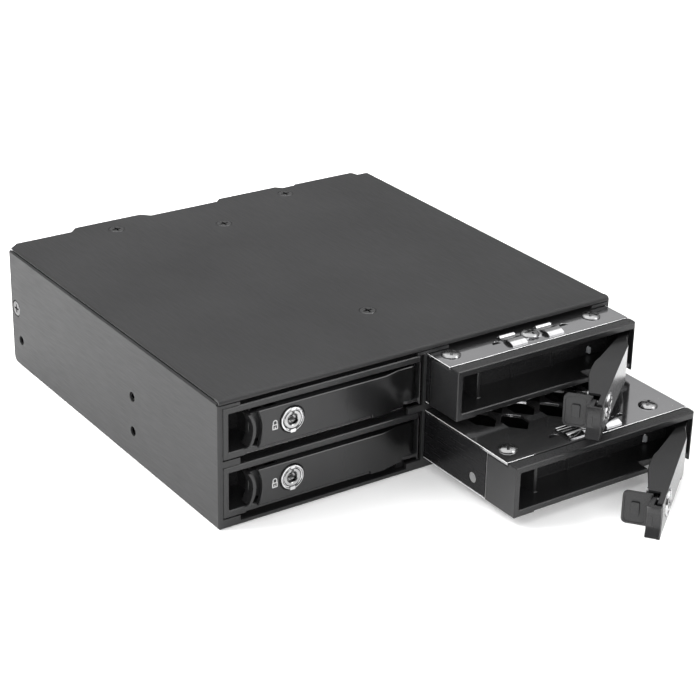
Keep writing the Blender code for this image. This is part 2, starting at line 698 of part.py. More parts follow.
def lock_cylinder_mesh():
    """Turning core with an annular key slot in front and a flat cam behind."""
    face = LEVER_FACE
    end = face + LOCK_LENGTH + 1.2
    outline = [
        (0, face - 0.45), (1.0, face - 0.45), (1.0, face + 1.6), (1.8, face + 1.6), (1.8, face - 0.6),
        (2.9, face - 0.6), (2.9, face - 0.1), (2.45, face + 0.3), (2.45, end), (0, end),
    ]
    core = turned("core", outline, 20)
    cam_outline = arc((0, 0), 2.45, 180, 360, 8) + arc((0, 2.4), 1.3, 0, 180, 6)
    cam = prism("cam", cam_outline, end - 0.9, end, "Y")
    notch = box("cut_notch", (-0.45, 0.45), (face - 2, face + 0.7), (1.5, 2.4))
    weld(core, cam)
    return take_mesh(carve(core, notch))


def tray_materials():
    return {
        "shell": make_material("polished_steel", (0.42, 0.42, 0.43), 0.12, 1.0),
        "plastic": make_material("black_plastic", (0.018, 0.018, 0.02), 0.38, 0.0),
        "chrome": make_material("chrome", (0.78, 0.78, 0.8), 0.12, 1.0),
        "lens": make_material("light_pipe", (0.8, 0.82, 0.84), 0.2, 0.0),
    }


def make_trays(materials):
    shell = tray_shell_mesh()
    bezel = bezel_mesh()
    light = light_pipe_mesh()
    pin = hinge_pin_mesh()
    clip = spring_clip_mesh()
    lever = lever_mesh()
    latch = latch_mesh()
    ring = lock_ring_mesh()
    cylinder = lock_cylinder_mesh()
    lock_place = (LOCK_X - HINGE_X, 0, LOCK_Z)
    stands = (
        ("upper_left", 0, UPPER_TRAY_Z, 0.0, 0.0),
        ("upper_right", 1, UPPER_TRAY_Z, UPPER_RIGHT_PULL, UPPER_RIGHT_TURN),
        ("lower_left", 0, LOWER_TRAY_Z, 0.0, 0.0),
        ("lower_right", 1, LOWER_TRAY_Z, LOWER_RIGHT_PULL, LOWER_RIGHT_TURN),
    )
    for name, column, z, pull, turn in stands:
        tray = empty(f"{name}_tray", (bay_left(column), -pull, z))
        hinge = empty(f"{name}_hinge", (HINGE_X, HINGE_Y, 0), tray, turn)
        finish(copy_of(shell, f"{name}_tray_shell", tray), materials["shell"], smooth=False)
        finish(copy_of(bezel, f"{name}_bezel", tray), materials["plastic"])
        finish(copy_of(light, f"{name}_light_pipe", tray), materials["lens"])
        finish(copy_of(clip, f"{name}_spring_clip", tray), materials["chrome"])
        finish(copy_of(pin, f"{name}_hinge_pin", tray, (HINGE_X, HINGE_Y, 0)), materials["chrome"])
        finish(copy_of(lever, f"{name}_lever", hinge), materials["plastic"])
        slid = (LATCH_TRAVEL if turn else 0.0, 0, 0)
        finish(copy_of(latch, f"{name}_latch", hinge, slid), materials["plastic"])
        finish(copy_of(ring, f"{name}_lock_barrel", hinge, lock_place), materials["chrome"])
        finish(copy_of(cylinder, f"{name}_lock_core", hinge, lock_place), materials["chrome"])


def centre_on_floor():
    """Move everything so the origin is the middle of the case's bottom face."""
    for made in bpy.data.objects:
        if made.parent is None:
            made.location.y -= SIDE_DEPTH / 2 * MM


def main():
    clear_scene()
    steel = make_material("coated_steel", (0.03, 0.03, 0.033), 0.42, 0.6)
    zinc = make_material("plated_steel", (0.5, 0.5, 0.5), 0.35, 1.0)
    board_green = make_material("circuit_board", (0.02, 0.09, 0.05), 0.4, 0.0)
    black = make_material("black_nylon", (0.02, 0.02, 0.02), 0.5, 0.0)
    materials = tray_materials()
    make_chassis(steel)
    make_cover(steel)
    make_divider(zinc)
    make_shelf(zinc)
    make_rear_panel(steel)
    make_backplane(board_green)
    make_drive_sockets(black)
    make_rear_ports(black)
    make_fan(black)
    make_fan_rotor(black)
    place_case_screws(materials["chrome"])
    make_trays(materials)
    centre_on_floor()


main()
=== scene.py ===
import json
import math

import bmesh
import bpy
from mathutils import Matrix, Vector


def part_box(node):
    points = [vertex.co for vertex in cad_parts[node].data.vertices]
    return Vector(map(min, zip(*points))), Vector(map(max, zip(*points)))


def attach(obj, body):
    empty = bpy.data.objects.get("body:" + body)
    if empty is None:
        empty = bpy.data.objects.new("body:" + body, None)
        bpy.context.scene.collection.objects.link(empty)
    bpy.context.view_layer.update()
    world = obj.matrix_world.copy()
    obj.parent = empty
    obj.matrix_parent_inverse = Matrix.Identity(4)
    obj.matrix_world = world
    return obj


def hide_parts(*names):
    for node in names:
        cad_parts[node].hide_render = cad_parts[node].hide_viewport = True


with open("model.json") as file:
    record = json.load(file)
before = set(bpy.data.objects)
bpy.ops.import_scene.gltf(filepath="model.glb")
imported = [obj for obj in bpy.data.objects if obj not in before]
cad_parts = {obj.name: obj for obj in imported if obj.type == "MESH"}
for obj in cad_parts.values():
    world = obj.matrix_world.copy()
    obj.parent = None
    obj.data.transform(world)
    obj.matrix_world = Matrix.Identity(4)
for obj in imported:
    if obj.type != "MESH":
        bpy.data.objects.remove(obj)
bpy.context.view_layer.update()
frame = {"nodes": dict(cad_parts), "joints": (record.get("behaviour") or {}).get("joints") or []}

MM = 0.001
TRAYS = ("upper_left", "upper_right", "lower_left", "lower_right")

# Tray sizes in millimetres, in the tray's own corner frame: x from its left side, y back from
# its front face, z up from its underside.
TRAY_WIDTH = 70.6
TRAY_HEIGHT = 16.6
TRAY_LENGTH = 111.0
BEZEL_DEPTH = 14.0
BEZEL_LIP = 4.1
OPENING_LEFT = 1.9
OPENING_RIGHT = 69.5
OPENING_BOTTOM = 2.3
OPENING_TOP = 14.55
CAVITY_DEPTH = 12.8
LIP_END = 52.6
LIP_CUT_DEPTH = 4.2
LIP_ROUND = 1.2
BEZEL_CORNER = 1.8
FOOT_WIDTH = 7.5
FOOT_CUT = 0.3
FOOT_STEP = 0.8
CATCH_X = 12.3
CATCH_Y = 6.2
CATCH_WIDTH = 1.2
RIB_X = (30.2, 46.4)
RIB_WIDTH = 0.8
EAR_RADIUS = 2.5
EAR_END_X = 70.2
PIPE_X = 62.4
PIPE_Z = 3.9
PIPE_REACH = 0.65
PIPE_RADIUS = 0.5
PIPE_HOLE = 0.8
HINGE_X = 66.0
HINGE_Y = 3.2
PROUD = 1.4
RAMP_START_X = 55.5
RAMP_END_X = 61.5
LEVER_FACE = -HINGE_Y - PROUD
LEVER_BOTTOM = 2.6
LEVER_TOP = 13.8
LEVER_MIDDLE = 8.1
APRON_BOTTOM = 2.0
HEEL_START_X = 53.0
HEEL_END_X = 63.6
HEEL_BACK = -1.9
HEEL_SKIRT_X = 51.0
HEEL_BOTTOM = 0.9
LEVER_SKIN = 1.7
LEVER_END_X = 12.4
LEVER_END_RADIUS = 12.3
FLANGE_START_X = 18.4
PIN_HOLE = 1.1
LOCK_X = 22.5
LOCK_Z = 8.4
LOCK_RADIUS = 4.0
LOCK_BARREL = 3.3
LOCK_LENGTH = 5.2
LATCH_TRAVEL = 1.9
LATCH_LEFT = 14.1
LATCH_RIGHT = 15.2
LATCH_HOOK = 6.2
LATCH_CORNER = 1.6
SHELL_WALL = 0.35
SHELL_TOP = 0.8
SHELL_FOOT = 0.3
PLATE_CUT = (14.0, 18.0)
EDGE_WIDTH = 0.3
EDGE_PROUD = 0.03
GAP = 0.3
DRIVE_SCREW_Y = (20.4, 97.0)
DRIVE_SCREW_Z = 4.5
DRIVE_HOLE = 1.7
PLATE_SCREWS = ((5.6, 11.4), (35.2, 10.3), (60.9, 11.4))
PLATE_SCREW_HOLE = 1.5
LANCE_X = (22.5, 49.0)
LANCE_Y = 10.2
LANCE_RADIUS = 1.6
VENT_SIDE = 3.9
VENT_TIP = 6.25
VENT_ROWS = 8
VENT_FIRST_X = 11.2
VENT_FIRST_Y = 24.5
VENT_PITCH_X = 15.0
VENT_PITCH_Y = 6.5
CLIP_LEAF = 0.3
CLIP_LIFT = 0.05
CLIP_X = (25.2, 45.4)
CLIP_FINGER = 5.8
SIGN_X = 16.6
SIGN_Z = 7.3


# ---------------------------------------------------------------- mesh helpers

def solid(name, bm):
    bmesh.ops.recalc_face_normals(bm, faces=bm.faces)
    mesh = bpy.data.meshes.new(name)
    bm.to_mesh(mesh)
    bm.free()
    made = bpy.data.objects.new(name, mesh)
    bpy.context.scene.collection.objects.link(made)
    return made


def add_prism(bm, outline, low, high, axis="Z"):
    place = {
        "Z": lambda u, v, w: (u, v, w),
        "Y": lambda u, v, w: (u, w, v),
        "X": lambda u, v, w: (w, u, v),
    }[axis]
    corners = [bm.verts.new(Vector(place(u, v, low)) * MM) for u, v in outline]
    face = bm.faces.new(corners)
    raised = bmesh.ops.extrude_face_region(bm, geom=[face])
    moved = [v for v in raised["geom"] if isinstance(v, bmesh.types.BMVert)]
    bmesh.ops.translate(bm, vec=Vector(place(0, 0, high - low)) * MM, verts=moved)


def prism(name, outline, low, high, axis="Z"):
    bm = bmesh.new()
    add_prism(bm, outline, low, high, axis)
    return solid(name, bm)


def rectangle(u, v):
    return [(u[0], v[0]), (u[1], v[0]), (u[1], v[1]), (u[0], v[1])]


def arc(centre, radius, start_deg, end_deg, steps):
    points = []
    for step in range(steps + 1):
        angle = math.radians(start_deg + (end_deg - start_deg) * step / steps)
        points.append((centre[0] + radius * math.cos(angle), centre[1] + radius * math.sin(angle)))
    return points


def circle(centre, radius, steps=24):
    return arc(centre, radius, 0, 360 - 360 / steps, steps - 1)


def rounded(u, v, radius, steps=4):
    """A rectangle with rounded corners."""
    points = arc((u[0] + radius, v[0] + radius), radius, 180, 270, steps)
    points += arc((u[1] - radius, v[0] + radius), radius, 270, 360, steps)
    points += arc((u[1] - radius, v[1] - radius), radius, 0, 90, steps)
    points += arc((u[0] + radius, v[1] - radius), radius, 90, 180, steps)
    return points


def box(name, x, y, z):
    return prism(name, rectangle(x, y), z[0], z[1])


def boxes(name, spans):
    bm = bmesh.new()
    for x, y, z in spans:
        add_prism(bm, rectangle(x, y), z[0], z[1])
    return solid(name, bm)


def rods(name, centres, radius, span, axis, steps=40):
    bm = bmesh.new()
    for centre in centres:
        add_prism(bm, circle(centre, radius, steps), span[0], span[1], axis)
    return solid(name, bm)


def turned(name, profile, steps=64, axis=(0, 1, 0)):
    """Spin a closed (radius, along) outline in mm about the Y or Z axis."""
    upright = axis[2] == 1
    bm = bmesh.new()
    ring = []
    for radius, along in profile:
        out, up = radius * MM, along * MM
        ring.append(bm.verts.new((out, 0, up) if upright else (out, up, 0)))
    edges = [bm.edges.new((ring[i], ring[(i + 1) % len(ring)])) for i in range(len(ring))]
    bmesh.ops.spin(
        bm, geom=ring + edges, cent=(0, 0, 0), axis=axis, angle=math.tau, steps=steps, use_merge=True,
    )
    bmesh.ops.remove_doubles(bm, verts=bm.verts, dist=1e-6)
    return solid(name, bm)


def bake(target):
    evaluated = target.evaluated_get(bpy.context.evaluated_depsgraph_get())
    mesh = bpy.data.meshes.new_from_object(evaluated)
    target.modifiers.clear()
    target.data = mesh


def combine(target, others, operation):
    for other in others:
        step = target.modifiers.new(operation.lower(), "BOOLEAN")
        step.operation = operation
        step.solver = "EXACT"
        step.object = other
    bake(target)
    for other in others:
        bpy.data.objects.remove(other, do_unlink=True)
    return target


def carve(target, *cutters):
    return combine(target, cutters, "DIFFERENCE")


def weld(target, *additions):
    return combine(target, additions, "UNION")


def merge_flats(target):
    """Join faces that lie in one plane, so that a bevel meets whole edges."""
    bm = bmesh.new()
    bm.from_mesh(target.data)
    bmesh.ops.remove_doubles(bm, verts=bm.verts, dist=2e-6)
    bmesh.ops.dissolve_limit(
        bm, angle_limit=math.radians(0.6), use_dissolve_boundaries=False,
        verts=bm.verts, edges=bm.edges, delimit={"NORMAL"},
    )
    bm.to_mesh(target.data)
    bm.free()


def shade(target, angle_deg=48):
    target.data.shade_smooth()
    target.data.set_sharp_from_angle(angle=math.radians(angle_deg))
    weighted = target.modifiers.new("normals", "WEIGHTED_NORMAL")
    weighted.weight = 100
    weighted.keep_sharp = True
    bake(target)
    return target


def round_edges(target, width, segments=2, angle_deg=40, clamp=True):
    """Bevel the sharp edges; one segment leaves flat chamfers."""
    merge_flats(target)
    step = target.modifiers.new("bevel", "BEVEL")
    step.width = width * MM
    step.segments = segments
    step.limit_method = "ANGLE"
    step.angle_limit = math.radians(angle_deg)
    step.use_clamp_overlap = clamp
    bake(target)
    return target


def soften(target, width, segments=2, angle_deg=40, clamp=True):
    """Round the sharp edges and shade the result smoothly."""
    rounded_off = round_edges(target, width, segments, angle_deg, clamp)
    return shade(rounded_off, 48 if segments > 1 else 25)


def take_mesh(made):
    mesh = made.data
    bpy.data.objects.remove(made, do_unlink=True)
    return mesh


def copy_of(mesh, name, matrix, body, material, slot, *replaced):
    """Place a shared mesh, let it ride on its body and stand for CAD nodes."""
    made = bpy.data.objects.new(name, mesh)
    bpy.context.scene.collection.objects.link(made)
    made.matrix_world = matrix
    if not mesh.materials:
        mesh.materials.append(material)
    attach(made, body)
    if replaced:
        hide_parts(*replaced)
    return made


# ---------------------------------------------------------------- materials

def new_material(name):
    material = bpy.data.materials.new(name)
    material.use_nodes = True
    return material, material.node_tree, material.node_tree.nodes["Principled BSDF"]


def noise_node(tree, coordinates, scale, detail=3.0, stretch=(1, 1, 1)):
    mapping = tree.nodes.new("ShaderNodeMapping")
    mapping.inputs["Scale"].default_value = stretch
    noise = tree.nodes.new("ShaderNodeTexNoise")
    noise.inputs["Scale"].default_value = scale
    noise.inputs["Detail"].default_value = detail
    tree.links.new(coordinates, mapping.inputs["Vector"])
    tree.links.new(mapping.outputs["Vector"], noise.inputs["Vector"])
    return noise.outputs["Fac"]


def ramp_node(tree, fac, low, high, span=(0.3, 0.7)):
    ramp = tree.nodes.new("ShaderNodeValToRGB")
    ramp.color_ramp.elements[0].position = span[0]
    ramp.color_ramp.elements[1].position = span[1]
    ramp.color_ramp.elements[0].color = (*low, 1.0)
    ramp.color_ramp.elements[1].color = (*high, 1.0)
    tree.links.new(fac, ramp.inputs["Fac"])
    return ramp.outputs["Color"]


def range_node(tree, fac, low, high):
    spread = tree.nodes.new("ShaderNodeMapRange")
    spread.inputs["From Min"].default_value = 0.3
    spread.inputs["From Max"].default_value = 0.7
    spread.inputs["To Min"].default_value = low
    spread.inputs["To Max"].default_value = high
    tree.links.new(fac, spread.inputs["Value"])
    return spread.outputs["Result"]


def surface(name, colours, roughness, metallic=0.0, tone=(60, (1, 1, 1)), grain=(1500, (1, 1, 1)),
            bump=0.1, sockets=()):
    """A procedural surface: slow colour drift, varied gloss and fine relief."""
    material, tree, shader = new_material(name)
    place = tree.nodes.new("ShaderNodeTexCoord").outputs["Object"]
    slow = noise_node(tree, place, tone[0], 4.0, tone[1])
    fine = noise_node(tree, place, grain[0], 3.0, grain[1])
    tree.links.new(ramp_node(tree, slow, *colours), shader.inputs["Base Color"])
    tree.links.new(range_node(tree, fine, *roughness), shader.inputs["Roughness"])
    relief = tree.nodes.new("ShaderNodeBump")
    relief.inputs["Strength"].default_value = bump
    relief.inputs["Distance"].default_value = 0.00005
    tree.links.new(fine, relief.inputs["Height"])
    tree.links.new(relief.outputs["Normal"], shader.inputs["Normal"])
    shader.inputs["Metallic"].default_value = metallic
    for socket, value in sockets:
        shader.inputs[socket].default_value = value
    return material


def paint_shade_along(material, span, depth):
    """Darken the colour along the piece's own X axis, between two places in mm, as painted shade."""
    tree = material.node_tree
    shader = tree.nodes["Principled BSDF"]
    colour = shader.inputs["Base Color"].links[0].from_socket
    place = tree.nodes.new("ShaderNodeTexCoord").outputs["Object"]
    parts = tree.nodes.new("ShaderNodeSeparateXYZ")
    tree.links.new(place, parts.inputs["Vector"])
    shade_fade = tree.nodes.new("ShaderNodeMapRange")
    shade_fade.inputs["From Min"].default_value = span[0] * MM
    shade_fade.inputs["From Max"].default_value = span[1] * MM
    shade_fade.inputs["To Min"].default_value = 1.0
    shade_fade.inputs["To Max"].default_value = depth
    tree.links.new(parts.outputs["X"], shade_fade.inputs["Value"])
    scaled = tree.nodes.new("ShaderNodeVectorMath")
    scaled.operation = "SCALE"
    tree.links.new(colour, scaled.inputs[0])
    tree.links.new(shade_fade.outputs["Result"], scaled.inputs["Scale"])
    tree.links.new(scaled.outputs["Vector"], shader.inputs["Base Color"])


def make_materials():
    looks = {}
    looks["coat"] = surface(
        "coated_steel", ((0.012, 0.012, 0.0125), (0.017, 0.017, 0.0175)), (0.46, 0.54),
        tone=(25, (1, 1, 1)), grain=(2400, (1, 0.06, 1)), bump=0.16,
        sockets=(("Specular IOR Level", 0.42),),
    )
    looks["bright"] = surface(
        "polished_steel", ((0.54, 0.54, 0.55), (0.62, 0.62, 0.63)), (0.06, 0.14), metallic=0.978,
        tone=(40, (1, 1, 1)), grain=(2600, (0.04, 1, 1)), bump=0.05,
    )
    # Bare steel of the cut edges, made light enough to paint the highlight lines along the sheet's edges.
    looks["cut_edge"] = surface(
        "bare_cut_edge", ((0.6, 0.6, 0.6), (0.7, 0.7, 0.7)), (0.4, 0.55), metallic=0.3,
        tone=(300, (1, 1, 1)), grain=(2600, (1, 0.2, 1)), bump=0.1,
    )
    looks["dark_side"] = surface(
        "dark_glossy_side", ((0.006, 0.006, 0.0065), (0.01, 0.01, 0.0105)), (0.2, 0.3),
        tone=(60, (1, 1, 1)), grain=(1800, (1, 0.1, 1)), bump=0.05,
        sockets=(("Specular IOR Level", 0.11),),
    )
    looks["plastic"] = surface(
        "black_plastic", ((0.011, 0.011, 0.0115), (0.016, 0.016, 0.0165)), (0.24, 0.36),
        tone=(50, (1, 1, 1)), grain=(5200, (1, 1, 1)), bump=0.16,
        sockets=(("Specular IOR Level", 0.4),),
    )
    looks["lever"] = surface(
        "lever_plastic", ((0.012, 0.012, 0.0125), (0.016, 0.016, 0.0165)), (0.16, 0.26),
        tone=(50, (1, 1, 1)), grain=(5200, (1, 1, 1)), bump=0.1,
        sockets=(("Specular IOR Level", 0.34), ("Coat Weight", 0.03), ("Coat Roughness", 0.15)),
    )
    # Painted shade: the door's colour darkens towards its hinge end, standing in for the dark reflection
    # and shade there.
    paint_shade_along(looks["lever"], (-26.0, -8.0), 0.25)
    looks["chrome"] = surface(
        "chrome", ((0.5, 0.5, 0.505), (0.62, 0.62, 0.625)), (0.08, 0.18), metallic=1.0,
        tone=(500, (1, 1, 1)), grain=(3000, (1, 1, 1)), bump=0.05,
    )
    looks["screw"] = surface(
        "blackened_screw", ((0.1, 0.1, 0.102), (0.16, 0.16, 0.162)), (0.22, 0.34), metallic=1.0,
        tone=(500, (1, 1, 1)), grain=(3000, (1, 1, 1)), bump=0.05,
    )
    looks["steel_screw"] = surface(
        "steel_screw", ((0.28, 0.28, 0.282), (0.4, 0.4, 0.402)), (0.16, 0.3), metallic=1.0,
        tone=(500, (1, 1, 1)), grain=(3000, (1, 1, 1)), bump=0.05,
    )
    looks["zinc"] = surface(
        "plated_steel", ((0.34, 0.34, 0.34), (0.46, 0.46, 0.47)), (0.24, 0.4), metallic=1.0,
        tone=(180, (1, 1, 1)), grain=(2400, (1, 0.08, 1)), bump=0.1,
    )
    looks["board"] = surface(
        "circuit_board", ((0.008, 0.05, 0.026), (0.014, 0.075, 0.04)), (0.28, 0.42),
        tone=(420, (1, 1, 1)), grain=(2600, (1, 1, 1)), bump=0.2,
    )
    looks["nylon"] = surface(
        "black_nylon", ((0.012, 0.012, 0.012), (0.02, 0.02, 0.02)), (0.4, 0.58),
        tone=(120, (1, 1, 1)), grain=(3600, (1, 1, 1)), bump=0.25,
    )
    # Painted glow: a faint emission makes the light pipe shine, though no lamp lights it.
    looks["lens"] = surface(
        "light_pipe", ((0.16, 0.165, 0.17), (0.24, 0.245, 0.25)), (0.1, 0.2),
        tone=(900, (1, 1, 1)), grain=(3600, (1, 1, 1)), bump=0.05,
        sockets=(("Emission Strength", 0.04), ("Emission Color", (0.9, 0.93, 1.0, 1.0))),
    )
    looks["print"] = surface(
        "white_print", ((0.36, 0.36, 0.36), (0.44, 0.44, 0.44)), (0.35, 0.5),
        tone=(900, (1, 1, 1)), grain=(4200, (1, 1, 1)), bump=0.1,
    )
    return looks


# ---------------------------------------------------------------- tray pieces

def vent_outline(x, y):
    """Hexagon with a tip towards the front and one towards the back."""
    kink = VENT_TIP / 3
    return [
        (x - VENT_SIDE, y - kink), (x, y - VENT_TIP), (x + VENT_SIDE, y - kink),
        (x + VENT_SIDE, y + kink), (x, y + VENT_TIP), (x - VENT_SIDE, y + kink),
    ]


def tray_plate_mesh():
    """The bright top sheet with its hexagon vents and half-round lances."""
    under = TRAY_HEIGHT - SHELL_TOP
    plate = box("plate", (0, TRAY_WIDTH), (BEZEL_LIP + GAP, TRAY_LENGTH), (under, TRAY_HEIGHT))
    bm = bmesh.new()
    for row in range(VENT_ROWS):
        y = VENT_FIRST_Y + row * VENT_PITCH_Y
        short = (row + 1) % 2
        left = VENT_FIRST_X + short * VENT_PITCH_X / 2
        for column in range(4 - short):
            add_prism(bm, vent_outline(left + column * VENT_PITCH_X, y), *PLATE_CUT)
    vents = solid("cut_vents", bm)
    holes = rods("cut_plate", PLATE_SCREWS, PLATE_SCREW_HOLE, PLATE_CUT, "Z")
    half_rounds = [arc((x, LANCE_Y), LANCE_RADIUS, 180, 0, 16) for x in LANCE_X]
    lances = [prism("cut_lance", outline, *PLATE_CUT) for outline in half_rounds]
    carve(plate, vents, holes, *lances)
    soften(plate, 0.13, segments=1)
    return take_mesh(plate)


def tray_sides_mesh():
    """The two thin sides of the sheet, with their drive screw holes."""
    up = (SHELL_FOOT, TRAY_HEIGHT - SHELL_TOP - 0.02)
    back = (BEZEL_DEPTH + GAP, TRAY_LENGTH)
    sides = boxes("sides", [((x, x + SHELL_WALL), back, up) for x in (0.0, TRAY_WIDTH - SHELL_WALL)])
    drive_holes = [(y, DRIVE_SCREW_Z) for y in DRIVE_SCREW_Y]
    carve(sides, rods("cut_sides", drive_holes, DRIVE_HOLE, (-1, TRAY_WIDTH + 1), "X"))
    soften(sides, 0.1)
    return take_mesh(sides)


def cut_edges_mesh():
    """The sheet's bare sheared edges along the top and the foot of each side, drawn as light lines that
    also paint the highlights on these edges.
    """
    top = (TRAY_HEIGHT - EDGE_WIDTH / 2, TRAY_HEIGHT + EDGE_PROUD)
    foot = (SHELL_FOOT - EDGE_PROUD, SHELL_FOOT + EDGE_WIDTH)
    spans = []
    for x in (-EDGE_PROUD, TRAY_WIDTH - EDGE_WIDTH / 2):
        across = (x, x + EDGE_WIDTH / 2 + EDGE_PROUD)
        spans.append((across, (BEZEL_LIP + GAP, TRAY_LENGTH), top))
        spans.append((across, (BEZEL_DEPTH + GAP, TRAY_LENGTH), foot))
    return take_mesh(soften(boxes("cut_edges", spans), 0.04, segments=1))


def bezel_block():
    """The bezel's outside, stepped down at the back for the plate."""
    outline = [(0, 0), (TRAY_WIDTH - BEZEL_CORNER, 0)]
    outline += arc((TRAY_WIDTH - BEZEL_CORNER, BEZEL_CORNER), BEZEL_CORNER, -80, 0, 8)
    outline += [(TRAY_WIDTH, BEZEL_DEPTH), (0, BEZEL_DEPTH)]
    block = prism("bezel", outline, 0, TRAY_HEIGHT)
    seat = TRAY_HEIGHT - SHELL_TOP - GAP
    step = box("cut_step", (-1, TRAY_WIDTH + 1.4), (BEZEL_LIP, BEZEL_DEPTH + 2), (seat, TRAY_HEIGHT + 1.4))
    return block, step


def lip_cuts():
    """Cutters that end the lower lip short of the hinge, round its end and raise its foot."""
    lip = box("cut_lip", (LIP_END, OPENING_RIGHT), (-1, LIP_CUT_DEPTH), (-1, OPENING_BOTTOM + 0.1))
    lip_corner = (LIP_END - LIP_ROUND, OPENING_BOTTOM - LIP_ROUND)
    above = OPENING_BOTTOM + 1.7
    round_off = arc(lip_corner, LIP_ROUND, 90, 0, 10)
    round_off += [(LIP_END + 1, lip_corner[1]), (LIP_END + 1, above), (lip_corner[0], above)]
    lip_end = prism("cut_lip_end", round_off, -1, LIP_CUT_DEPTH, "Y")
    foot = box("cut_foot", (FOOT_WIDTH, LIP_END + 1), (-1, BEZEL_DEPTH + 1), (-1, FOOT_CUT))
    slant = [(-1, -1), (-1, FOOT_STEP), (0.0, FOOT_STEP), (0.3, 0), (0.3, -1)]
    draft = prism("cut_draft", slant, FOOT_WIDTH, LIP_END + 1, "X")
    return lip, lip_end, foot, draft


def bezel_ribs():
    """The catch rib, the ribs on the cavity's back, and the ear under the hinge."""
    up = (OPENING_BOTTOM - 0.2, OPENING_TOP + 0.2)
    back = CAVITY_DEPTH + 0.2
    ribs = [box("catch", (CATCH_X, CATCH_X + CATCH_WIDTH), (CATCH_Y, back), up)]
    for x in RIB_X:
        ribs.append(box("rib", (x, x + RIB_WIDTH), (CAVITY_DEPTH - 0.5, back), up))
    ear = arc((HINGE_X, HINGE_Y), EAR_RADIUS, 90, 270, 20)
    ear += [(EAR_END_X, HINGE_Y - EAR_RADIUS), (EAR_END_X, HINGE_Y + EAR_RADIUS)]
    return ribs + [prism("ear", ear, 0.9, OPENING_BOTTOM)]


def bezel_mesh():
    """Moulded front block, hollow in front for the lever."""
    block, step = bezel_block()
    cavity = box(
        "cut_cavity", (OPENING_LEFT, OPENING_RIGHT), (-1, CAVITY_DEPTH), (OPENING_BOTTOM, OPENING_TOP)
    )
    lip, lip_end, foot, draft = lip_cuts()
    light = prism("cut_light", pipe_outline(PIPE_HOLE), CAVITY_DEPTH - 1, BEZEL_DEPTH + 1, "Y")
    carve(block, step, cavity, lip, lip_end, foot, draft, light)
    weld(block, *bezel_ribs())
    carve(block, rods("cut_pin", [(HINGE_X, HINGE_Y)], PIN_HOLE, (0, 15.0), "Z", 24))
    round_edges(block, 0.25, segments=1, clamp=False)
    # The chamfer overshoots at the foot's corner, so that corner is drawn back to the underside.
    for vertex in block.data.vertices:
        vertex.co.z = max(vertex.co.z, 0.0)
    return take_mesh(shade(block, 25))


def lever_outline():
    """Plan of the door about its hinge: proud face, ramp to the round hinge end, deep middle."""
    reach = HINGE_X - LEVER_END_X + 2.0
    points = [(-reach, LEVER_FACE), (RAMP_START_X - HINGE_X, LEVER_FACE)]
    points.append((RAMP_END_X - HINGE_X, -HINGE_Y))
    points += arc((0, 0), HINGE_Y, -90, 110, 28)
    points += [(-3.4, 0.4), (-5.2, -0.4), (-22.2, 2.3), (-25.6, 3.15), (-30.7, 3.35), (-35.2, 3.2)]
    points += [(-47.3, 0.95), (-reach, 0.95)]
    return points


def heel_outline():
    """Plan of the door's lower right corner, which fills the gap in the bezel's lip."""
    start = HEEL_START_X - HINGE_X
    skirt = HEEL_SKIRT_X - HINGE_X
    ramp_end = RAMP_END_X - HINGE_X
    end = HEEL_END_X - HINGE_X
    points = [(skirt, LEVER_FACE), (RAMP_START_X - HINGE_X, LEVER_FACE), (ramp_end, -HINGE_Y)]
    points += [(end, -HINGE_Y), (end, -2.75), (ramp_end, -2.4), (ramp_end - 1.5, HEEL_BACK)]
    return points + [(start, HEEL_BACK), (start, -HINGE_Y - GAP), (skirt, -HINGE_Y - GAP)]


def lever_mesh():
    lever = prism("lever", lever_outline(), LEVER_BOTTOM, LEVER_TOP)
    reach = HINGE_X - LEVER_END_X
    ramp = RAMP_START_X - HINGE_X
    front = (LEVER_FACE, -HINGE_Y - GAP)
    apron = box("apron", (-reach - 2, ramp), front, (APRON_BOTTOM, LEVER_BOTTOM + 0.5))
    weld(lever, apron, prism("heel", heel_outline(), HEEL_BOTTOM, LEVER_BOTTOM + 0.5))
    skin_back = LEVER_FACE + LEVER_SKIN
    hollow = [(-reach - 4, skin_back), (ramp, skin_back), (-4.8, -HINGE_Y + LEVER_SKIN)]
    hollow += [(-4.8, 6), (-reach - 4, 6)]
    channel = prism("cut_channel", hollow, LEVER_BOTTOM + 1.0, LEVER_TOP - 1.0)
    behind = box("cut_behind", (-reach - 4, FLANGE_START_X - HINGE_X), (skin_back, 6), (0, 20))
    arch = [(-reach - LEVER_END_RADIUS, LEVER_MIDDLE)]
    end = rods("cut_end", arch, LEVER_END_RADIUS, (-9, 9), "Y", 160)
    pin = rods("cut_pin", [(0, 0)], PIN_HOLE, (0, 20), "Z", 24)
    centre = (LOCK_X - HINGE_X, LOCK_Z)
    lock = rods("cut_lock", [centre], LOCK_BARREL + GAP, (-9, 0), "Y", 48)
    rebate = rods("cut_rebate", [centre], LOCK_RADIUS + 0.25, (-9, LEVER_FACE + 0.5), "Y", 48)
    carve(lever, channel, behind, end, pin, lock, rebate)
    soften(lever, 0.2, segments=1, clamp=False)
    return take_mesh(lever)


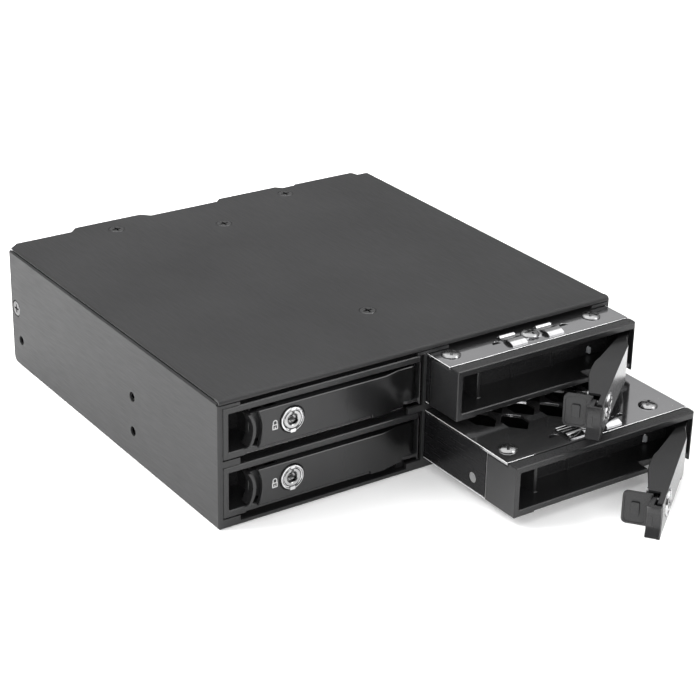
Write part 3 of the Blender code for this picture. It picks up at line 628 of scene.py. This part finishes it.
def latch_mesh():
    """Arched finger bar, web, and hooked plate with a raised pad on its free side."""
    middle = LEVER_MIDDLE
    low = LEVER_BOTTOM + 0.3
    high = LEVER_TOP - 0.4
    left = LATCH_LEFT - HINGE_X
    right = LATCH_RIGHT - HINGE_X
    concave = arc((0.85, middle), 8.4, -38, 38, 20)
    convex = arc((1.4, middle), 9.0, 35, -35, 20)
    bar = prism("latch", [(x - HINGE_X, z) for x, z in concave + convex], LEVER_FACE + 0.1, -0.2, "Y")
    web = box("web", (left - 5.1, right - 0.2), (-2.0, -0.3), (low + 0.9, high - 0.9))
    plate_outline = [(-0.9, low), (-0.9, high)]
    plate_outline += arc((LATCH_HOOK, high - LATCH_CORNER), LATCH_CORNER, 90, 0, 8)
    plate_outline += arc((LATCH_HOOK, low + LATCH_CORNER), LATCH_CORNER, 0, -90, 8)
    plate = prism("plate", plate_outline, left, right, "X")
    dish_outline = rounded((0.9, 7.1), (low + 0.7, high - 0.7), 1.2)
    dish = prism("cut_dish", dish_outline, left - 1.1, left + 0.2, "X")
    pad_outline = rounded((2.6, 5.2), (middle - 2.2, middle + 2.2), 0.5)
    pad = prism("pad", pad_outline, left - 0.35, left + 0.5, "X")
    carve(plate, dish)
    round_edges(bar, 0.25, segments=3)
    round_edges(web, 0.2)
    round_edges(plate, 0.12)
    round_edges(pad, 0.15)
    weld(bar, web, plate, pad)
    return take_mesh(shade(bar))


def lock_barrel_mesh():
    """Flanged barrel: thin outer rim, shallow groove, inner rim, and key tabs at top and bottom."""
    face = LEVER_FACE
    outline = [
        (LOCK_RADIUS, face - 0.15), (LOCK_RADIUS, face + 0.2),
        (LOCK_BARREL, face + 0.2), (LOCK_BARREL, face + LOCK_LENGTH),
        (2.75, face + LOCK_LENGTH), (2.75, face + 0.6), (3.05, face + 0.35), (3.05, face - 0.35),
        (3.2, face - 0.4), (3.35, face - 0.1), (3.5, face - 0.1), (3.6, face - 0.5),
        (3.85, face - 0.45),
    ]
    ring = turned("ring", outline)
    tabs = [
        prism("tab", rounded((-0.75, 0.75), (3.02, 3.95), 0.2), face - 0.6, face + 0.1, "Y"),
        prism("tab", rounded((-0.9, 0.9), (-4.05, -3.02), 0.2), face - 0.6, face + 0.1, "Y"),
    ]
    weld(ring, *tabs)
    return take_mesh(shade(ring, 28))


def lock_core_mesh():
    """Turning core: rim, annular key slot, diamond-topped centre post, and a cam behind."""
    face = LEVER_FACE
    end = face + LOCK_LENGTH + 1.2
    outline = [
        (0, face + 0.2), (1.15, face + 0.2), (1.15, face + 1.6), (1.75, face + 1.6),
        (1.75, face - 0.2), (1.95, face - 0.42), (2.75, face - 0.42), (2.9, face - 0.25),
        (2.9, face - 0.1), (2.45, face + 0.3), (2.45, end), (0, end),
    ]
    core = turned("core", outline)
    cam_outline = arc((0, 0), 2.45, 180, 360, 20) + arc((0, 2.4), 1.3, 0, 180, 16)
    cam = prism("cam", cam_outline, end - 0.9, end, "Y")
    diamond = [(0, face - 0.7), (1.25, face + 0.05), (1.25, face + 0.4), (0, face + 0.4)]
    post = turned("post", diamond, 4)
    weld(core, cam, post)
    carve(core, box("cut_notch", (-0.5, 0.5), (face - 2, face + 0.7), (1.5, 3.2)))
    return take_mesh(shade(core, 28))


def crossed_screw(profile, reach, blade, depth):
    """A turned screw with a cross recess: its half length, half width and span in height."""
    screw = turned("screw", profile, 48, (0, 0, 1))
    cross = box("cut_cross", (-reach, reach), (-blade, blade), depth)
    other = box("cut_cross", (-blade, blade), (-reach, reach), depth)
    carve(screw, cross, other)
    return take_mesh(shade(screw, 32))


def pan_screw_mesh():
    """Pan head with its seat at z = 0."""
    head = [(0, 0.96), (1.1, 0.92), (2.1, 0.78), (2.75, 0.54), (3.05, 0.22), (3.05, 0.0)]
    shank = [(1.3, 0.0), (1.3, -1.6), (0, -1.6)]
    return crossed_screw(head + shank, 2.1, 0.42, (0.3, 2.0))


def sunk_screw_mesh():
    """Countersunk screw with its face at z = 0."""
    head = [(0, 0), (2.45, 0), (2.6, -0.12), (1.2, -1.35)]
    shank = [(1.2, -2.1), (0.8, -2.4), (0, -2.4)]
    return crossed_screw(head + shank, 1.5, 0.32, (-0.9, 0.5))


def bow_outline(start, length, z, rise, steps, fullness):
    """Side of a bowed leaf: a sine arch from z, made fuller by a power below one."""
    crest = []
    for step in range(steps + 1):
        along = step / steps
        crest.append((start + length * along, z + rise * abs(math.sin(math.pi * along)) ** fullness))
    return crest + [(y, height + CLIP_LEAF) for y, height in reversed(crest)]


def spring_clip_mesh():
    """Bent leaf: a flat strip under the centre screw, a bowed finger and a rear lip at each side."""
    z = TRAY_HEIGHT + CLIP_LIFT
    strip = prism("clip", rectangle(CLIP_X, (10.6, 12.8)), z, z + CLIP_LEAF)
    tongue = prism("tongue", rounded((31.5, 39.1), (8.2, 11.4), 0.8), z, z + CLIP_LEAF)
    bows = []
    for left in (CLIP_X[0], CLIP_X[1] - CLIP_FINGER):
        across = (left, left + CLIP_FINGER)
        bows.append(prism("finger", bow_outline(5.9, 5.3, z, 0.85, 16, 0.8), *across, "X"))
        bows.append(prism("rear_lip", bow_outline(12.2, 1.8, z, 0.6, 8, 1.0), *across, "X"))
    weld(strip, tongue, *bows)
    carve(strip, rods("cut_hole", [PLATE_SCREWS[1]], PLATE_SCREW_HOLE, (z - 1, z + 1), "Z"))
    merge_flats(strip)
    return take_mesh(shade(strip))


def padlock_mesh():
    """Generic padlock sign, a thin print on the lever's face."""
    span = (LEVER_FACE - 0.03, LEVER_FACE + 0.05)
    x = SIGN_X - HINGE_X
    z = SIGN_Z
    plate = prism("sign", rounded((x - 0.95, x + 0.95), (z - 0.85, z + 0.85), 0.15), *span, "Y")
    carve(plate, box("cut", (x - 0.6, x + 0.6), (-9, 0), (z - 0.5, z + 0.5)))
    bow = (x, z + 1.45)
    outer = [(x + 0.8, z + 0.75)] + arc(bow, 0.8, 0, 180, 16) + [(x - 0.8, z + 0.75)]
    inner = [(x - 0.48, z + 0.75)] + arc(bow, 0.48, 180, 0, 16) + [(x + 0.48, z + 0.75)]
    shackle = prism("shackle", outer + inner, *span, "Y")
    dot = prism("dot", rectangle((x - 0.15, x + 0.15), (z - 0.6, z + 0.1)), *span, "Y")
    weld(plate, shackle, dot)
    return take_mesh(plate)


def pipe_outline(radius):
    """Upright oval about the light pipe's middle."""
    outline = arc((PIPE_X, PIPE_Z + PIPE_REACH), radius, 0, 180, 16)
    return outline + arc((PIPE_X, PIPE_Z - PIPE_REACH), radius, 180, 360, 16)


def light_pipe_mesh():
    """Moulded rod that ends just proud of the cavity's back wall."""
    pipe = prism("pipe", pipe_outline(PIPE_RADIUS), CAVITY_DEPTH - 0.5, 17.0, "Y")
    return take_mesh(soften(pipe, 0.12))


def hinge_turn(tray):
    """How far the lever of a tray stands open, from the direction its latch slides in."""
    for joint in frame["joints"]:
        if joint["name"] == f"{tray}_latch_slide":
            return math.atan2(joint["axis"][1], joint["axis"][0])
    return 0.0


def build_trays(looks):
    meshes = {
        "plate": tray_plate_mesh(), "sides": tray_sides_mesh(), "edges": cut_edges_mesh(),
        "bezel": bezel_mesh(),
        "lever": lever_mesh(), "latch": latch_mesh(), "barrel": lock_barrel_mesh(),
        "core": lock_core_mesh(), "screw": pan_screw_mesh(), "clip": spring_clip_mesh(),
        "sign": padlock_mesh(), "pipe": light_pipe_mesh(),
    }
    for tray in TRAYS:
        low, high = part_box(f"{tray}_bezel")
        corner = Vector((low.x, low.y, low.z))
        place = Matrix.Translation(corner)
        hinge = place @ Matrix.Translation(Vector((HINGE_X, HINGE_Y, 0)) * MM)
        turn = hinge_turn(tray)
        hinge = hinge @ Matrix.Rotation(turn, 4, "Z")
        slid = hinge @ Matrix.Translation(Vector((LATCH_TRAVEL if turn else 0.0, 0, 0)) * MM)
        lock = hinge @ Matrix.Translation(Vector((LOCK_X - HINGE_X, 0, LOCK_Z)) * MM)
        body = f"{tray}_tray"
        copy_of(meshes["plate"], f"{tray}_plate", place, body, looks["bright"], "polished_steel",
                f"{tray}_tray_shell")
        copy_of(meshes["sides"], f"{tray}_sides", place, body, looks["dark_side"], "polished_steel")
        copy_of(meshes["edges"], f"{tray}_cut_edges", place, body, looks["cut_edge"], "polished_steel")
        copy_of(meshes["bezel"], f"{tray}_front", place, body, looks["plastic"], "black_plastic",
                f"{tray}_bezel")
        copy_of(meshes["pipe"], f"{tray}_lens", place, body, looks["lens"], "light_pipe",
                f"{tray}_light_pipe")
        copy_of(meshes["clip"], f"{tray}_clip", place, body, looks["chrome"], "chrome",
                f"{tray}_spring_clip")
        for number, (x, y) in enumerate(PLATE_SCREWS, start=1):
            seat = TRAY_HEIGHT + (0.36 if number == 2 else 0.02)
            spot = place @ Matrix.Translation(Vector((x, y, seat)) * MM)
            spot = spot @ Matrix.Rotation(math.radians(20 + 37 * number), 4, "Z")
            copy_of(meshes["screw"], f"{tray}_plate_screw_{number}", spot, body,
                    looks["steel_screw"], "chrome")
        copy_of(meshes["lever"], f"{tray}_door", hinge, f"{tray}_lever", looks["lever"],
                "black_plastic", f"{tray}_lever")
        copy_of(meshes["sign"], f"{tray}_padlock_sign", hinge, f"{tray}_lever", looks["print"],
                "black_plastic")
        copy_of(meshes["barrel"], f"{tray}_key_barrel", lock, f"{tray}_lever", looks["chrome"], "chrome",
                f"{tray}_lock_barrel")
        copy_of(meshes["latch"], f"{tray}_finger_latch", slid, f"{tray}_latch", looks["plastic"],
                "black_plastic", f"{tray}_latch")
        copy_of(meshes["core"], f"{tray}_key_core", lock, f"{tray}_lock", looks["steel_screw"], "chrome",
                f"{tray}_lock_core")


# ---------------------------------------------------------------- case

def softened_copy(node, name, width, body, material, segments=2):
    """A rounded-edge version of a CAD node, standing for it."""
    made = bpy.data.objects.new(name, frame["nodes"][node].data.copy())
    bpy.context.scene.collection.objects.link(made)
    soften(made, width, segments)
    made.data.materials.clear()
    made.data.materials.append(material)
    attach(made, body)
    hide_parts(node)
    return made


def build_case(looks):
    softened_copy("chassis", "case_shell", 0.25, "case", looks["coat"])
    softened_copy("top_cover", "case_lid", 0.2, "case", looks["coat"])
    mesh = sunk_screw_mesh()
    for node in ("cover_screw_1", "cover_screw_2", "cover_screw_3", "cover_screw_4"):
        low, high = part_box(node)
        spot = Vector(((low.x + high.x) / 2, (low.y + high.y) / 2, high.z))
        copy_of(mesh, f"{node}_head", Matrix.Translation(spot), "case", looks["screw"], "chrome", node)
    for node, side in (("left_side_screw", -1), ("right_side_screw", 1)):
        low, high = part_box(node)
        outer = low.x if side < 0 else high.x
        spot = Matrix.Translation(Vector((outer, (low.y + high.y) / 2, (low.z + high.z) / 2)))
        spot = spot @ Matrix.Rotation(math.radians(90 * side), 4, "Y")
        copy_of(mesh, f"{node}_head", spot, "case", looks["screw"], "chrome", node)


def dress_cad(looks):
    """Give every CAD node that still shows its surface."""
    for node, made in frame["nodes"].items():
        if node in ("centre_divider", "bay_shelf"):
            look = looks["zinc"]
        elif node == "backplane_board":
            look = looks["board"]
        elif "socket" in node or "port" in node or node.startswith("fan"):
            look = looks["nylon"]
        elif "light_pipe" in node:
            look = looks["lens"]
        elif "pin" in node or "screw" in node or "lock" in node or "clip" in node:
            look = looks["chrome"]
        elif "bezel" in node or "lever" in node or "latch" in node:
            look = looks["plastic"]
        else:
            look = looks["coat"]
        made.data.materials.clear()
        made.data.materials.append(look)


# ---------------------------------------------------------------- stage

CAMERA_PLACE = (-0.32541, -0.50043, 0.28916)
CAMERA_AZIMUTH = -34.58
CAMERA_ELEVATION = 24.778
CAMERA_ROLL = 1.26
CAMERA_LENS = 101.14


def place_camera():
    azimuth = math.radians(CAMERA_AZIMUTH)
    elevation = math.radians(CAMERA_ELEVATION)
    forward = Vector((
        -math.sin(azimuth) * math.cos(elevation), math.cos(azimuth) * math.cos(elevation),
        -math.sin(elevation),
    ))
    right = Vector((math.cos(azimuth), math.sin(azimuth), 0))
    upward = right.cross(forward)
    roll = math.radians(CAMERA_ROLL)
    turned_right = right * math.cos(roll) + upward * math.sin(roll)
    turned_up = turned_right.cross(forward)
    pose = Matrix((turned_right, turned_up, -forward)).transposed().to_4x4()
    data = bpy.data.cameras.new("camera")
    data.lens = CAMERA_LENS
    data.sensor_width = 36.0
    data.clip_start = 0.01
    camera = bpy.data.objects.new("camera", data)
    camera.matrix_world = Matrix.Translation(Vector(CAMERA_PLACE)) @ pose
    bpy.context.scene.collection.objects.link(camera)
    bpy.context.scene.camera = camera


def area_light(name, place, aim, size, power, mirrored=True, diffuse=True):
    """A soft box, which can be kept out of gloss or out of diffuse light."""
    data = bpy.data.lights.new(name, "AREA")
    data.shape = "RECTANGLE"
    data.size, data.size_y = size
    data.energy = power
    light = bpy.data.objects.new(name, data)
    light.location = place
    light.visible_glossy = mirrored
    light.visible_diffuse = diffuse
    light.rotation_euler = (Vector(aim) - Vector(place)).to_track_quat("-Z", "Y").to_euler()
    bpy.context.scene.collection.objects.link(light)


def build_stage():
    bm = bmesh.new()
    bmesh.ops.create_grid(bm, x_segments=2, y_segments=2, size=8.0)
    floor = solid("floor", bm)
    floor.location.z = -0.0002
    floor.data.materials.append(surface(
        "studio_floor", ((0.86, 0.86, 0.86), (0.88, 0.88, 0.88)), (0.6, 0.75),
        tone=(3, (1, 1, 1)), grain=(300, (1, 1, 1)), bump=0.02,
        sockets=(("Emission Strength", 0.18), ("Emission Color", (1.0, 1.0, 1.0, 1.0))),
    ))
    area_light("overhead", (0.1, 0.1, 1.5), (0, 0, 0), (2.4, 2.4), 25.0)
    area_light("front_right", (0.9, -1.3, 0.8), (0.05, -0.05, 0.0), (1.0, 0.8), 5.0)
    area_light("front_left", (-0.7, -1.2, 0.55), (0, -0.05, 0), (0.8, 0.5), 14.0, mirrored=False)
    area_light("left_floor", (-0.55, 0.35, 0.55), (-0.2, 0.12, 0), (0.5, 0.5), 12.0, mirrored=False)
    area_light("right_floor", (0.6, 0.2, 0.45), (0.25, 0.05, 0.0), (0.3, 0.3), 2.5, mirrored=False)
    area_light("edge_line", (0.82, -0.67, 1.2), (0.0, 0.0, 0.02), (0.5, 0.4), 4.0, diffuse=False)
    world = bpy.data.worlds.new("studio")
    world.use_nodes = True
    tree = world.node_tree
    back = tree.nodes["Background"]
    place = tree.nodes.new("ShaderNodeTexCoord").outputs["Generated"]
    lean = tree.nodes.new("ShaderNodeVectorMath")
    lean.operation = "DOT_PRODUCT"
    lean.inputs[1].default_value = (0.0, 0.5, 0.5)
    tree.links.new(place, lean.inputs[0])
    spread = tree.nodes.new("ShaderNodeMapRange")
    spread.inputs["From Min"].default_value = -0.5
    spread.inputs["From Max"].default_value = 0.6
    tree.links.new(lean.outputs["Value"], spread.inputs["Value"])
    sky = ramp_node(tree, spread.outputs["Result"], (0.06, 0.06, 0.06), (0.66, 0.66, 0.66), (0.1, 1.0))
    tree.links.new(sky, back.inputs["Color"])
    back.inputs["Strength"].default_value = 0.72
    bpy.context.scene.world = world
    bpy.context.scene.view_settings.view_transform = "Standard"


looks = make_materials()
dress_cad(looks)
build_case(looks)
build_trays(looks)
place_camera()
build_stage()
